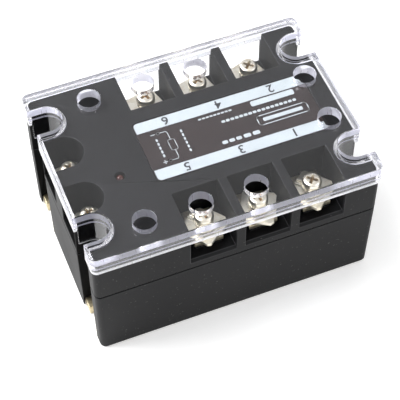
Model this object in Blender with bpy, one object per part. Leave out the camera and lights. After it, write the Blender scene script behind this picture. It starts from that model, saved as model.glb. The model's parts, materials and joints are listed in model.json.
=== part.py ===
"""Three-phase solid state relay with screw terminals, a two-part case and a clear lift-off cover.

+X runs along the case, away from the control terminals. The origin is the centre of the underside.
Sizes are in metres.
"""

import math

import bmesh
import bpy

# Overall sizes, over the clear cover
LENGTH = 0.105
WIDTH = 0.076
HEIGHT = 0.056

# Clearance between pieces that touch or are cut by each other
GAP = 0.0003

# Case
HOUSING_INSET = 0.0004
HOUSING_DRAFT = 0.0004
CORNER_RADIUS = 0.0022
UPPER_WALL = 0.0018
LOWER_WALL = 0.0028
DECK_THICKNESS = 0.0022
UPPER_DEPTH = 0.0232
PARTING_GROOVE = 0.0007
LIP_WIDTH = 0.0007
LIP_HEIGHT = 0.0020
SHELL_FOOT = 0.0006

# Base plate and its mounting slots
BASE_THICKNESS = 0.0045
BASE_EDGE_WALL = 0.0009
SLOT_PITCH_Y = 0.0494
SLOT_END_X = 0.0437
SLOT_WIDTH = 0.0058

# Clear cover
COVER_PLATE = 0.0042
COVER_RIM = 0.0082
COVER_WALL = 0.0013
SKIRT_WALL = 0.0011
SKIRT_DEPTH = 0.0158
NOTCH_WIDTH = 0.0114
NOTCH_END_X = 0.0416
COVER_HOLE_RADIUS = 0.0041

# Power terminals: three along each long side
POWER_FIRST_X = -0.0095
POWER_PITCH = 0.020
POWER_ROW_Y = 0.0282
POWER_COUNT = 3
POCKET_WALL = 0.0032
POCKET_WIDTH = POWER_PITCH - POCKET_WALL
POCKET_INNER_Y = 0.0197
CLAMP_SWEEP = 0.0006
POCKET_FLOOR_RISE = 0.0042
POCKET_FLOOR_THICKNESS = 0.0020
POCKET_LIP_CHAMFER = 0.0010
POWER_BAR_HALF = 0.0052
POWER_BAR_OUTER = 0.0052
POWER_FOOT_LENGTH = 0.0040

# Control terminals: two at the -X end
CONTROL_X = -0.0446
CONTROL_SIDE = 0.0071
WELL_WIDTH = 0.0136
WELL_INNER_X = -0.0388
WELL_FLOOR_RISE = 0.0027
CONTROL_BAR_HALF = 0.0040
CONTROL_BAR_OUTER = 0.0042
CONTROL_TAIL_HALF = 0.0024

# Label and indicator
LABEL_CENTRE_X = 0.0119
LABEL_LENGTH = 0.0640
LABEL_WIDTH = 0.0268
LABEL_CORNER = 0.0018
LABEL_THICKNESS = 0.00035
LED_X = -0.0313
LED_Y = -0.0062
LED_RADIUS = 0.0015
LED_LEAD_HALF = 0.00025
LED_STAND_OFF = 0.0018

# Control board and what it carries
BOARD_RISE = 0.0092
BOARD_THICKNESS = 0.0016
BOARD_END_X = 0.0400
BOARD_POST_X = (-0.0260, 0.0340)
BOARD_POST_Y = 0.0115
BOARD_POST_RADIUS = 0.0026
BOARD_SCREW_RADIUS = 0.0009
BOARD_SCREW_LENGTH = 0.0050
BOARD_HEAD_RADIUS = 0.0018
BOARD_HEAD_HEIGHT = 0.0011
OPTO_SIZE = (0.0085, 0.0065, 0.0034)

# Power stage
SUBSTRATE_WIDTH = 0.0470
SUBSTRATE_SPACE = 0.0074
SUBSTRATE_THICKNESS = 0.0010
CHIP_SIZE = (0.0095, 0.0095, 0.0008)
CHIP_Y = 0.0080
POTTING_BOTTOM_Z = 0.0088
POTTING_DROP = 0.0113

# Screws that hold the base plate
BASE_SCREW_X = 0.0280
BASE_BOSS_RADIUS = 0.0030
BASE_BOSS_TOP_Z = 0.0180
BASE_SCREW_RADIUS = 0.0013
BASE_HEAD_RADIUS = 0.0026
BASE_HEAD_HEIGHT = 0.0016
BASE_SCREW_TIP_Z = 0.0150

# Terminal screws: cross recess, and the head's shoulder and crown as shares of its height and radius
CROSS_WIDTH = 0.0009
CROSS_DEPTH = 0.0016
CROSS_REACH = 0.68
HEAD_SHOULDER = (1.00, 0.62)
HEAD_CROWN = (0.90, 0.86)
HEAD_FLAT = 0.62

# Half the angle of a spring washer's split, degrees
WASHER_SPLIT = 12.0

# Facets in a full circle, in a small screw's circle and in a quarter turn, and the angle that stays sharp
ROUND_STEPS = 18
SMALL_STEPS = 12
ARC_STEPS = 5
SHARP_ANGLE = 35.0

# Levels that the terminals stand on, from the line where the two halves of the case meet
PARTING_Z = HEIGHT - UPPER_DEPTH
POTTING_TOP_Z = PARTING_Z - POTTING_DROP
POCKET_FLOOR_Z = PARTING_Z + POCKET_FLOOR_RISE
WELL_FLOOR_Z = PARTING_Z + WELL_FLOOR_RISE
BOARD_Z = PARTING_Z + BOARD_RISE


class Terminal:
    """Sizes of one kind of screw terminal, stacked upwards from its seat."""

    def __init__(self, **sizes):
        self.__dict__.update(sizes)
        self.bar_z = self.floor_z + self.seat_rise + GAP
        self.clamp_z = self.bar_z + self.bar_thickness + GAP
        self.washer_z = self.clamp_z + self.clamp_thickness + GAP
        self.head_z = self.washer_z + self.washer_thickness + GAP
        self.collar_z = self.bar_z - self.collar_depth
        self.hole_radius = self.screw_radius + 2 * GAP
        self.seat_half = self.collar_radius + GAP + self.seat_wall
        self.seat_bottom_z = self.head_z - self.screw_length - self.seat_floor


POWER = Terminal(
    floor_z=POCKET_FLOOR_Z,
    seat_rise=0.0009,
    bar_thickness=0.0017,
    clamp_thickness=0.0013,
    washer_thickness=0.0013,
    screw_radius=0.0017,
    screw_length=0.0100,
    head_radius=0.0034,
    head_height=0.0034,
    collar_radius=0.0033,
    collar_depth=0.0030,
    seat_wall=0.0012,
    seat_floor=0.0016,
    clamp_half=0.0060,
    clamp_reach=POCKET_WIDTH / 2 - CLAMP_SWEEP,
    rib_length=0.0024,
    rib_height=0.0008,
)
CONTROL = Terminal(
    floor_z=WELL_FLOOR_Z,
    seat_rise=0.0005,
    bar_thickness=0.0013,
    clamp_thickness=0.0010,
    washer_thickness=0.0010,
    screw_radius=0.0014,
    screw_length=0.0088,
    head_radius=0.0030,
    head_height=0.0026,
    collar_radius=0.0026,
    collar_depth=0.0026,
    seat_wall=0.0006,
    seat_floor=0.0012,
    clamp_half=0.0041,
    clamp_reach=0.0054,
    rib_length=0.0010,
    rib_height=0.0006,
)

# Where a clamp's two ribs stand from the middle of its edge, and half a rib's width
RIB_SPREAD = 0.0008
RIB_HALF = 0.00028

# How far each power clamp and its screw were left turned when they were tightened, degrees
CLAMP_TURNS = {"n1": 38.0, "n2": 332.0, "n3": 42.0, "f1": 196.0, "f2": 194.0, "f3": 200.0}
WASHER_LEAD = 200.0
SCREW_TURNS = {"n1": 12.0, "n2": 5.0, "n3": 50.0, "f1": 20.0, "f2": 35.0, "f3": 48.0}
CONTROL_CLAMP_TURN = 180.0
CONTROL_WASHER_TURN = 90.0
CONTROL_SCREW_TURNS = (25.0, 50.0)

# Other levels and half sizes that follow from the sizes above
HALF_X = LENGTH / 2
HALF_Y = WIDTH / 2
COVER_UNDERSIDE_Z = HEIGHT - COVER_PLATE
DECK_Z = COVER_UNDERSIDE_Z - GAP
RIM_BOTTOM_Z = HEIGHT - COVER_RIM
SHELF_Z = RIM_BOTTOM_Z - GAP
SKIRT_BOTTOM_Z = HEIGHT - SKIRT_DEPTH
HOUSING_X = HALF_X - HOUSING_INSET
HOUSING_Y = HALF_Y - HOUSING_INSET
UPPER_BOTTOM_Z = PARTING_Z + PARTING_GROOVE / 2
LOWER_TOP_Z = PARTING_Z - PARTING_GROOVE / 2
NOTCH_Y = SLOT_PITCH_Y / 2
NOTCH_HALF = NOTCH_WIDTH / 2
CHANNEL_HALF = NOTCH_HALF + SKIRT_WALL + GAP
CHANNEL_END_X = NOTCH_END_X - SKIRT_WALL - GAP
CHANNEL_INNER_Y = NOTCH_Y - CHANNEL_HALF
CONTROL_Y = CHANNEL_INNER_Y - CONTROL_SIDE
POWER_XS = [POWER_FIRST_X + POWER_PITCH * place for place in range(POWER_COUNT)]
POWER_LEG_Y = POCKET_INNER_Y + 2 * GAP
CONTROL_PIN_X = WELL_INNER_X + UPPER_WALL + 3 * GAP
ROOM_Y = CHANNEL_INNER_Y - UPPER_WALL
BASE_TOP_Z = BASE_THICKNESS
BASE_HALF_X = HOUSING_X - HOUSING_DRAFT - BASE_EDGE_WALL
BASE_HALF_Y = HOUSING_Y - HOUSING_DRAFT - BASE_EDGE_WALL
BASE_BOSS_Y = HOUSING_Y - LOWER_WALL - BASE_BOSS_RADIUS + 2 * GAP
SUBSTRATE_Z = BASE_TOP_Z + GAP
SUBSTRATE_HALF_X = (POWER_PITCH - SUBSTRATE_SPACE) / 2
CHIP_Z = SUBSTRATE_Z + SUBSTRATE_THICKNESS + GAP


def material(name, colour, roughness, metallic=0.0, alpha=1.0):
    """A Principled material, made once for each name."""
    made = bpy.data.materials.get(name)
    if made:
        return made
    made = bpy.data.materials.new(name)
    made.use_nodes = True
    shader = made.node_tree.nodes["Principled BSDF"]
    shader.inputs["Base Color"].default_value = (*colour, 1.0)
    shader.inputs["Roughness"].default_value = roughness
    shader.inputs["Metallic"].default_value = metallic
    shader.inputs["Alpha"].default_value = alpha
    made.diffuse_color = (*colour, alpha)
    return made


def black_plastic():
    return material("black_plastic", (0.025, 0.025, 0.028), 0.55)


def clear_plastic():
    return material("clear_plastic", (0.90, 0.92, 0.97), 0.05, alpha=0.35)


def nickel():
    return material("nickel", (0.66, 0.62, 0.50), 0.28, 1.0)


def base_metal():
    return material("base_metal", (0.52, 0.44, 0.27), 0.38, 1.0)


def copper():
    return material("copper", (0.60, 0.56, 0.46), 0.32, 1.0)


def add_mesh(name, mesh_data, finish):
    """An object for a finished bmesh, with its normals pointing out and round sides smooth."""
    bmesh.ops.remove_doubles(mesh_data, verts=mesh_data.verts, dist=1e-7)
    bmesh.ops.recalc_face_normals(mesh_data, faces=mesh_data.faces)
    mesh = bpy.data.meshes.new(name)
    mesh_data.to_mesh(mesh)
    mesh_data.free()
    mesh.materials.append(finish)
    made = bpy.data.objects.new(name, mesh)
    bpy.context.scene.collection.objects.link(made)
    return made


def smooth(made):
    made.data.shade_smooth()
    made.data.set_sharp_from_angle(angle=math.radians(SHARP_ANGLE))
    return made


def combine(body, tool, operation):
    """Applies one Boolean to body and removes the tool."""
    modifier = body.modifiers.new("boolean", "BOOLEAN")
    modifier.object = tool
    modifier.operation = operation
    modifier.solver = "EXACT"
    bpy.context.view_layer.update()
    graph = bpy.context.evaluated_depsgraph_get()
    result = bpy.data.meshes.new_from_object(body.evaluated_get(graph))
    body.modifiers.clear()
    body.data = result
    bpy.data.objects.remove(tool)
    return body


def cut(body, shape):
    return combine(body, add_mesh("cutter", shape, black_plastic()), "DIFFERENCE")


def join(body, shape):
    return combine(body, add_mesh("addition", shape, black_plastic()), "UNION")


def stack(sections):
    """A closed bmesh through sections of (outline, z), all with the same number of points."""
    made = bmesh.new()
    rings = [[made.verts.new((x, y, z)) for x, y in outline] for outline, z in sections]
    for low, high in zip(rings, rings[1:]):
        for here in range(len(low)):
            there = (here + 1) % len(low)
            made.faces.new((low[here], low[there], high[there], high[here]))
    made.faces.new(list(reversed(rings[0])))
    made.faces.new(rings[-1])
    return made


def prism(outline, low, high):
    return stack([(outline, low), (outline, high)])


def merged(shapes):
    """One bmesh that holds several shapes, which don't touch."""
    whole = bmesh.new()
    for shape in shapes:
        part = bpy.data.meshes.new("part")
        shape.to_mesh(part)
        shape.free()
        whole.from_mesh(part)
        bpy.data.meshes.remove(part)
    return whole


def rectangle(x_low, x_high, y_low, y_high):
    return [(x_low, y_low), (x_high, y_low), (x_high, y_high), (x_low, y_high)]


def box(x_range, y_range, z_range):
    return prism(rectangle(*x_range, *y_range), *z_range)


def arc(centre, radius, start, end, steps=ARC_STEPS):
    """Points along an arc, its angles in degrees."""
    angles = [math.radians(start + (end - start) * step / steps) for step in range(steps + 1)]
    return [(centre[0] + radius * math.cos(a), centre[1] + radius * math.sin(a)) for a in angles]


def circle(centre, radius, steps=ROUND_STEPS):
    return arc(centre, radius, 0, 360 * (steps - 1) / steps, steps - 1)


def cylinder(centre, radius, low, high):
    return prism(circle(centre, radius), low, high)


def rounded_rectangle(half_x, half_y, radius):
    points = []
    for quarter, (side_x, side_y) in enumerate([(1, 1), (-1, 1), (-1, -1), (1, -1)]):
        centre = (side_x * (half_x - radius), side_y * (half_y - radius))
        points += arc(centre, radius, 90 * quarter, 90 * quarter + 90)
    return points


def notched_outline(half_x, half_y, radius, notch_half, notch_end):
    """A rounded rectangle with two U-shaped notches in each short end."""
    end = arc((half_x - radius, radius - half_y), radius, -90, 0)
    for notch_y in (-NOTCH_Y, NOTCH_Y):
        end.append((half_x, notch_y - notch_half))
        end += arc((notch_end + notch_half, notch_y), notch_half, 270, 90, 2 * ARC_STEPS)
        end.append((half_x, notch_y + notch_half))
    end += arc((half_x - radius, half_y - radius), radius, 0, 90)
    return end + [(-x, -y) for x, y in end]


def cross_outline(wall):
    """The room inside the case: full length between the notch channels, shorter beside them."""
    long_x = HOUSING_X - wall
    short_x = CHANNEL_END_X - wall
    wide_y = HOUSING_Y - wall
    narrow_y = CHANNEL_INNER_Y - wall
    end = [(long_x, -narrow_y), (long_x, narrow_y), (short_x, narrow_y), (short_x, wide_y)]
    side = [(-short_x, wide_y), (-short_x, narrow_y)]
    rest = [(-x, -y) for x, y in end]
    return end + side + rest + [(-x, -y) for x, y in side]


def turned(profile, steps=ROUND_STEPS):
    """A closed solid of revolution about Z, its (radius, z) profile running up from the axis."""
    made = bmesh.new()
    bottom = made.verts.new((0, 0, profile[0][1]))
    top = made.verts.new((0, 0, profile[-1][1]))
    rings = []
    for radius, z in profile[1:-1]:
        rings.append([made.verts.new((x, y, z)) for x, y in circle((0, 0), radius, steps)])
    for here in range(steps):
        there = (here + 1) % steps
        made.faces.new((bottom, rings[0][there], rings[0][here]))
        made.faces.new((top, rings[-1][here], rings[-1][there]))
        for low, high in zip(rings, rings[1:]):
            made.faces.new((low[here], low[there], high[there], high[here]))
    return made


def moved(shape, x, y, z=0.0):
    bmesh.ops.translate(shape, verts=shape.verts, vec=(x, y, z))
    return shape


def both_rows(maker):
    """maker(x, side) for each power terminal, side being -1 for the near row and 1 for the far row."""
    return [maker(x, side) for side in (-1, 1) for x in POWER_XS]


def span(low, high):
    return (min(low, high), max(low, high))


def end_slots(inner_x, half, z_range):
    """Four round-ended slots in from the short ends, at the mounting screws' places."""
    outline = arc((inner_x + half, 0), half, 90, 270, 2 * ARC_STEPS)
    outline += [(HALF_X + half, -half), (HALF_X + half, half)]
    slots = []
    for side_x, side_y in [(-1, -1), (-1, 1), (1, -1), (1, 1)]:
        slots.append(prism([(side_x * x, side_y * NOTCH_Y + y) for x, y in outline], *z_range))
    return merged(slots)


# ---- Case


def make_base_plate():
    slots = end_slots(SLOT_END_X, SLOT_WIDTH / 2, (-BASE_THICKNESS, 2 * BASE_THICKNESS))
    outline = rounded_rectangle(BASE_HALF_X, BASE_HALF_Y, CORNER_RADIUS)
    plate = add_mesh("base_plate", prism(outline, 0, BASE_TOP_Z), base_metal())
    cut(plate, slots)
    bore = BASE_SCREW_RADIUS + GAP
    recess = BASE_HEAD_RADIUS + GAP
    recess_top = GAP + BASE_HEAD_HEIGHT + GAP
    holes = []
    for x, y in base_screw_places():
        profile = [(0, -GAP), (recess, -GAP), (recess, recess_top), (bore, recess_top)]
        holes.append(moved(turned(profile + [(bore, BASE_TOP_Z + GAP), (0, BASE_TOP_Z + GAP)]), x, y))
    return smooth(cut(plate, merged(holes)))


def base_screw_places():
    return [(sx * BASE_SCREW_X, sy * BASE_BOSS_Y) for sx in (-1, 1) for sy in (-1, 1)]


def make_base_screws():
    tip = BASE_SCREW_TIP_Z
    profile = [
        (0, GAP),
        (BASE_HEAD_RADIUS, GAP),
        (BASE_HEAD_RADIUS, GAP + BASE_HEAD_HEIGHT),
        (BASE_SCREW_RADIUS, GAP + BASE_HEAD_HEIGHT),
        (BASE_SCREW_RADIUS, tip - BASE_SCREW_RADIUS),
        (BASE_SCREW_RADIUS / 2, tip),
        (0, tip),
    ]
    mesh = take_mesh(smooth(add_mesh("screw", turned(profile, SMALL_STEPS), nickel())))
    for number, (x, y) in enumerate(base_screw_places(), 1):
        place(f"base_screw_{number}", mesh, x, y, 0)


def make_lower_housing():
    foot_x, foot_y = HOUSING_X - HOUSING_DRAFT, HOUSING_Y - HOUSING_DRAFT
    foot = rounded_rectangle(foot_x, foot_y, CORNER_RADIUS)
    top = rounded_rectangle(HOUSING_X, HOUSING_Y, CORNER_RADIUS)
    sections = [(foot, SHELL_FOOT), (top, LOWER_TOP_Z)]
    shell = add_mesh("lower_housing", stack(sections), black_plastic())
    cut(shell, end_slots(CHANNEL_END_X, CHANNEL_HALF, (-BASE_THICKNESS, HEIGHT)))
    cut(shell, prism(cross_outline(LOWER_WALL), -BASE_THICKNESS, HEIGHT))
    bosses = [
        cylinder(place, BASE_BOSS_RADIUS, BASE_TOP_Z, BASE_BOSS_TOP_Z) for place in base_screw_places()
    ]
    join(shell, merged(bosses))
    bore = BASE_SCREW_RADIUS + GAP
    bores = [cylinder(place, bore, 0, BASE_SCREW_TIP_Z + GAP) for place in base_screw_places()]
    cut(shell, merged(bores))
    recess = rounded_rectangle(BASE_HALF_X + GAP, BASE_HALF_Y + GAP, CORNER_RADIUS)
    cut(shell, prism(recess, -BASE_THICKNESS, BASE_TOP_Z + GAP))
    lip_x = CHANNEL_END_X - LOWER_WALL - GAP
    lip_out = HOUSING_Y - UPPER_WALL - GAP
    lip_in = HOUSING_Y - LOWER_WALL
    lips = []
    for side in (-1, 1):
        across = span(side * lip_in, side * lip_out)
        lips.append(box((-lip_x, lip_x), across, (LOWER_TOP_Z - LIP_WIDTH, LOWER_TOP_Z + LIP_HEIGHT)))
    return join(shell, merged(lips))


def pocket_cutter(x, side):
    """The open pocket of one power terminal, its floor chamfered at the outer edge."""
    inner = POCKET_INNER_Y
    outer = HALF_Y + POCKET_LIP_CHAMFER
    edge = HOUSING_Y - POCKET_LIP_CHAMFER
    drop = POCKET_FLOOR_Z - (outer - edge)
    profile = [(inner, POCKET_FLOOR_Z), (edge, POCKET_FLOOR_Z), (outer, drop)]
    profile += [(outer, HEIGHT), (inner, HEIGHT)]
    made = bmesh.new()
    ends = []
    for across in (x - POCKET_WIDTH / 2, x + POCKET_WIDTH / 2):
        ends.append([made.verts.new((across, side * y, z)) for y, z in profile])
    for here in range(len(profile)):
        there = (here + 1) % len(profile)
        made.faces.new((ends[0][here], ends[0][there], ends[1][there], ends[1][here]))
    made.faces.new(ends[0])
    made.faces.new(ends[1])
    bmesh.ops.recalc_face_normals(made, faces=made.faces)
    return made


def well_cutter(side):
    half = WELL_WIDTH / 2
    outside = -(HALF_X + WELL_WIDTH)
    round_end = arc((WELL_INNER_X - half, 0), half, -90, 90, 2 * ARC_STEPS)
    outline = [(outside, -half)] + round_end + [(outside, half)]
    return prism([(x, side * CONTROL_Y + y) for x, y in outline], WELL_FLOOR_Z, HEIGHT)


def power_seat(x, side):
    half = POWER.seat_half
    y = side * POWER_ROW_Y
    top = POWER.floor_z + POWER.seat_rise
    return box((x - half, x + half), (y - half, y + half), (POWER.seat_bottom_z, top))


def control_seat(side):
    half = CONTROL.seat_half
    y = side * CONTROL_Y
    top = CONTROL.floor_z + CONTROL.seat_rise
    return box((CONTROL_X - half, CONTROL_X + half), (y - half, y + half), (CONTROL.seat_bottom_z, top))


def collar_recess(kind, x, y):
    return cylinder((x, y), kind.collar_radius + GAP, kind.collar_z - GAP, HEIGHT)


def tip_bore(kind, x, y):
    return cylinder((x, y), kind.hole_radius, kind.seat_bottom_z + kind.seat_floor / 2, kind.collar_z)


def bar_slot(x, side):
    """The slot in a pocket's floor that the leg of a power bar passes through."""
    half = POWER_BAR_HALF + GAP
    across = (POWER_LEG_Y - GAP, POWER_LEG_Y + POWER.bar_thickness + GAP)
    y_range = span(side * across[0], side * across[1])
    return box((x - half, x + half), y_range, (PARTING_Z, POWER.bar_z))


def make_upper_housing():
    full = rounded_rectangle(HOUSING_X, HOUSING_Y, CORNER_RADIUS)
    rim_step = COVER_WALL + GAP - HOUSING_INSET
    inside_rim = rounded_rectangle(HOUSING_X - rim_step, HOUSING_Y - rim_step, CORNER_RADIUS - rim_step / 2)
    sections = [(full, UPPER_BOTTOM_Z), (full, SHELF_Z), (inside_rim, SHELF_Z), (inside_rim, DECK_Z)]
    shell = add_mesh("upper_housing", stack(sections), black_plastic())
    cut(shell, end_slots(CHANNEL_END_X, CHANNEL_HALF, (0, HEIGHT)))
    below = (UPPER_BOTTOM_Z - UPPER_WALL, POCKET_FLOOR_Z - POCKET_FLOOR_THICKNESS)
    side_x = CHANNEL_END_X - LOWER_WALL
    side_y = HOUSING_Y - UPPER_WALL
    cut(shell, box((-side_x, side_x), (-side_y, side_y), below))
    room_start = WELL_INNER_X + UPPER_WALL
    room_top = DECK_Z - DECK_THICKNESS
    cut(shell, box((room_start, HOUSING_X - UPPER_WALL), (-ROOM_Y, ROOM_Y), (below[0] - GAP, room_top)))
    blank_end = POWER_XS[0] - POCKET_WIDTH / 2 - UPPER_WALL
    rooms = []
    for side in (-1, 1):
        y_range = span(side * (ROOM_Y + UPPER_WALL), side * (side_y - UPPER_WALL))
        rooms.append(box((-side_x, blank_end), y_range, (below[0] - 2 * GAP, room_top)))
    cut(shell, merged(rooms))
    cut(shell, merged(both_rows(pocket_cutter) + [well_cutter(-1), well_cutter(1)]))
    join(shell, merged(both_rows(power_seat)))
    join(shell, merged([control_seat(-1), control_seat(1)]))
    recesses = both_rows(lambda x, side: collar_recess(POWER, x, side * POWER_ROW_Y))
    recesses += [collar_recess(CONTROL, CONTROL_X, side * CONTROL_Y) for side in (-1, 1)]
    cut(shell, merged(recesses))
    bores = both_rows(lambda x, side: tip_bore(POWER, x, side * POWER_ROW_Y))
    bores += [tip_bore(CONTROL, CONTROL_X, side * CONTROL_Y) for side in (-1, 1)]
    cut(shell, merged(bores))
    cut(shell, merged(both_rows(bar_slot)))
    cut(shell, merged([control_bar_slot(-1), control_bar_slot(1)]))
    return finish_deck(shell, room_top)


def control_bar_slot(side):
    half = CONTROL_TAIL_HALF + GAP
    y = side * CONTROL_Y
    past = WELL_INNER_X + UPPER_WALL + GAP
    z_range = (CONTROL.bar_z - GAP, CONTROL.bar_z + CONTROL.bar_thickness + GAP)
    return box((WELL_INNER_X - WELL_WIDTH / 4, past), (y - half, y + half), z_range)


def finish_deck(shell, room_top):
    """Board posts, the indicator's hole and the label's recess."""
    post_bottom = BOARD_Z + BOARD_THICKNESS + GAP
    posts = [cylinder(place, BOARD_POST_RADIUS, post_bottom, room_top + GAP) for place in board_posts()]
    join(shell, merged(posts))
    bore = BOARD_SCREW_RADIUS + GAP
    pilots = [cylinder(place, bore, post_bottom - GAP, room_top - GAP) for place in board_posts()]
    hole = cylinder((LED_X, LED_Y), LED_RADIUS + GAP, room_top - GAP, HEIGHT)
    cut(shell, merged(pilots + [hole]))
    outline = rounded_rectangle(LABEL_LENGTH / 2 + GAP, LABEL_WIDTH / 2 + GAP, LABEL_CORNER + GAP)
    recess = [(LABEL_CENTRE_X + x, y) for x, y in outline]
    return cut(shell, prism(recess, label_bottom_z() - GAP, HEIGHT))


def label_bottom_z():
    return DECK_Z - GAP / 3 - LABEL_THICKNESS


def make_label():
    outline = rounded_rectangle(LABEL_LENGTH / 2, LABEL_WIDTH / 2, LABEL_CORNER)
    placed = [(LABEL_CENTRE_X + x, y) for x, y in outline]
    low = label_bottom_z()
    finish = material("label_film", (0.09, 0.07, 0.08), 0.35)
    return add_mesh("rating_label", prism(placed, low, low + LABEL_THICKNESS), finish)


# ---- Clear cover


def cover_outline(inset, wall):
    return notched_outline(
        HALF_X - inset, HALF_Y - inset, CORNER_RADIUS, NOTCH_HALF + wall, NOTCH_END_X - wall
    )


def skirt(side_x, side_y):
    """The wall that hangs from the edge of one notch into the case's channel."""
    outer = NOTCH_HALF + SKIRT_WALL
    centre = (NOTCH_END_X + NOTCH_HALF, 0)
    end = HALF_X - COVER_WALL
    outline = [(end, outer)] + arc(centre, outer, 90, 270, 2 * ARC_STEPS) + [(end, -outer)]
    outline += [(end, -NOTCH_HALF)] + arc(centre, NOTCH_HALF, 270, 90, 2 * ARC_STEPS) + [(end, NOTCH_HALF)]
    placed = [(side_x * x, side_y * NOTCH_Y + y) for x, y in outline]
    return prism(placed, SKIRT_BOTTOM_Z, COVER_UNDERSIDE_Z + COVER_PLATE / 2)


def make_clear_cover():
    shell = add_mesh("clear_cover", prism(cover_outline(0, 0), RIM_BOTTOM_Z, HEIGHT), clear_plastic())
    cut(shell, prism(cover_outline(COVER_WALL, SKIRT_WALL), SKIRT_BOTTOM_Z, COVER_UNDERSIDE_Z))
    join(shell, merged([skirt(sx, sy) for sx in (-1, 1) for sy in (-1, 1)]))
    holes = both_rows(lambda x, side: cover_hole(-x, side * POWER_ROW_Y))
    holes += [cover_hole(-CONTROL_X, side * CONTROL_Y) for side in (-1, 1)]
    return smooth(cut(shell, merged(holes)))


def cover_hole(x, y):
    """A screwdriver hole. The cover is fitted turned end for end, so x has its sign changed."""
    return cylinder((x, y), COVER_HOLE_RADIUS, RIM_BOTTOM_Z, HEIGHT + COVER_PLATE)


# ---- Terminals

def extruded(profile, half, along_y):
    """A (run, z) profile extruded half to each side of the plane it lies in."""
    made = bmesh.new()
    ends = []
    for across in (-half, half):
        places = [(run, across, z) if along_y else (across, run, z) for run, z in profile]
        ends.append([made.verts.new(place) for place in places])
    for here in range(len(profile)):
        there = (here + 1) % len(profile)
        made.faces.new((ends[0][here], ends[0][there], ends[1][there], ends[1][here]))
    made.faces.new(ends[0])
    made.faces.new(ends[1])
    bmesh.ops.recalc_face_normals(made, faces=made.faces)
    return made


def power_bar_mesh():
    """Seat, leg and foot of a power bar about its screw's axis, with +Y outwards."""
    thick = POWER.bar_thickness
    leg = POWER_LEG_Y - POWER_ROW_Y
    foot_z = CHIP_Z - POWER.bar_z
    profile = [
        (leg - POWER_FOOT_LENGTH, foot_z),
        (leg + thick, foot_z),
        (leg + thick, 0),
        (POWER_BAR_OUTER, 0),
        (POWER_BAR_OUTER, thick),
        (leg, thick),
        (leg, foot_z + thick),
        (leg - POWER_FOOT_LENGTH, foot_z + thick),
    ]
    return tapped(add_mesh("bar", extruded(profile, POWER_BAR_HALF, False), copper()), POWER)


def tapped(bar, kind):
    """Adds the round collar under a bar's seat and bores it for the screw's thread."""
    join(bar, cylinder((0, 0), kind.collar_radius, -kind.collar_depth, kind.bar_thickness / 2))
    cut(bar, cylinder((0, 0), kind.screw_radius + GAP, -2 * kind.collar_depth, 2 * kind.bar_thickness))
    return take_mesh(smooth(bar))


def control_bar_mesh():
    """Seat, tail and solder pin of a control bar about its screw's axis, with +X inwards."""
    thick = CONTROL.bar_thickness
    pin = CONTROL_PIN_X - CONTROL_X
    pin_top = BOARD_Z - GAP - CONTROL.bar_z
    tail = [(0, 0), (pin + thick, 0), (pin + thick, pin_top), (pin, pin_top), (pin, thick), (0, thick)]
    bar = add_mesh("bar", extruded(tail, CONTROL_TAIL_HALF, True), copper())
    seat_x = (-CONTROL_BAR_OUTER, CONTROL.seat_half)
    join(bar, box(seat_x, (-CONTROL_BAR_HALF, CONTROL_BAR_HALF), (0, thick)))
    return tapped(bar, CONTROL)


def take_mesh(made):
    """The mesh of a working object, which is then removed."""
    mesh = made.data
    bpy.data.objects.remove(made)
    return mesh


def four_turns(quarter):
    """An outline made of the same points at each quarter turn."""
    outline = []
    for c, s in ((1, 0), (0, 1), (-1, 0), (0, -1)):
        outline += [(x * c - y * s, x * s + y * c) for x, y in quarter]
    return outline


def screw_mesh(kind):
    """A pan-head screw with a cross recess, its origin on its axis under the head."""
    head = kind.head_radius
    top = kind.head_height
    shank = kind.screw_radius
    profile = [
        (0, -kind.screw_length),
        (shank - GAP, -kind.screw_length),
        (shank, GAP - kind.screw_length),
        (shank, 0),
        (head - GAP, 0),
        (head, GAP),
        (head * HEAD_SHOULDER[0], top * HEAD_SHOULDER[1]),
        (head * HEAD_CROWN[0], top * HEAD_CROWN[1]),
        (head * HEAD_FLAT, top),
        (0, top),
    ]
    screw = add_mesh("screw", turned(profile), nickel())
    arm = head * CROSS_REACH
    half = CROSS_WIDTH / 2
    cross = four_turns([(arm, -half), (arm, half), (half, half)])
    cut(screw, prism(cross, top - CROSS_DEPTH, top + CROSS_DEPTH))
    return take_mesh(smooth(screw))


def washer_mesh(kind):
    """A split spring washer, its origin on its axis at its underside."""
    inner = kind.hole_radius
    outer = kind.head_radius - GAP
    start, end = WASHER_SPLIT, 360 - WASHER_SPLIT
    outline = arc((0, 0), outer, start, end, ROUND_STEPS) + arc((0, 0), inner, end, start, ROUND_STEPS)
    return take_mesh(smooth(add_mesh("washer", prism(outline, 0, kind.washer_thickness), nickel())))


def clamp_mesh(kind):
    """A square clamp washer with clipped corners and two short ribs at the middle of one edge."""
    half = kind.clamp_half
    clip = math.sqrt(kind.clamp_reach**2 - half**2)
    outline = four_turns([(half, -clip), (half, clip)])
    clamp = add_mesh("clamp", prism(outline, 0, kind.clamp_thickness), nickel())
    cut(clamp, cylinder((0, 0), kind.hole_radius, -kind.clamp_thickness, 2 * kind.clamp_thickness))
    y_range = (half - kind.rib_length, half)
    z_range = (kind.clamp_thickness / 2, kind.clamp_thickness + kind.rib_height)
    ribs = [box((x - RIB_HALF, x + RIB_HALF), y_range, z_range) for x in (-RIB_SPREAD, RIB_SPREAD)]
    return take_mesh(join(clamp, merged(ribs)))


def place(name, mesh, x, y, z, turn=0.0):
    made = bpy.data.objects.new(name, mesh)
    bpy.context.scene.collection.objects.link(made)
    made.location = (x, y, z)
    made.rotation_euler = (0, 0, math.radians(turn))
    return made


def seat_on_clamp(clamp, name, mesh, rise, turn):
    """A washer or screw that rides on a clamp, on the same axis."""
    made = place(name, mesh, 0, 0, rise, turn - math.degrees(clamp.rotation_euler.z))
    made.parent = clamp
    return made


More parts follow.
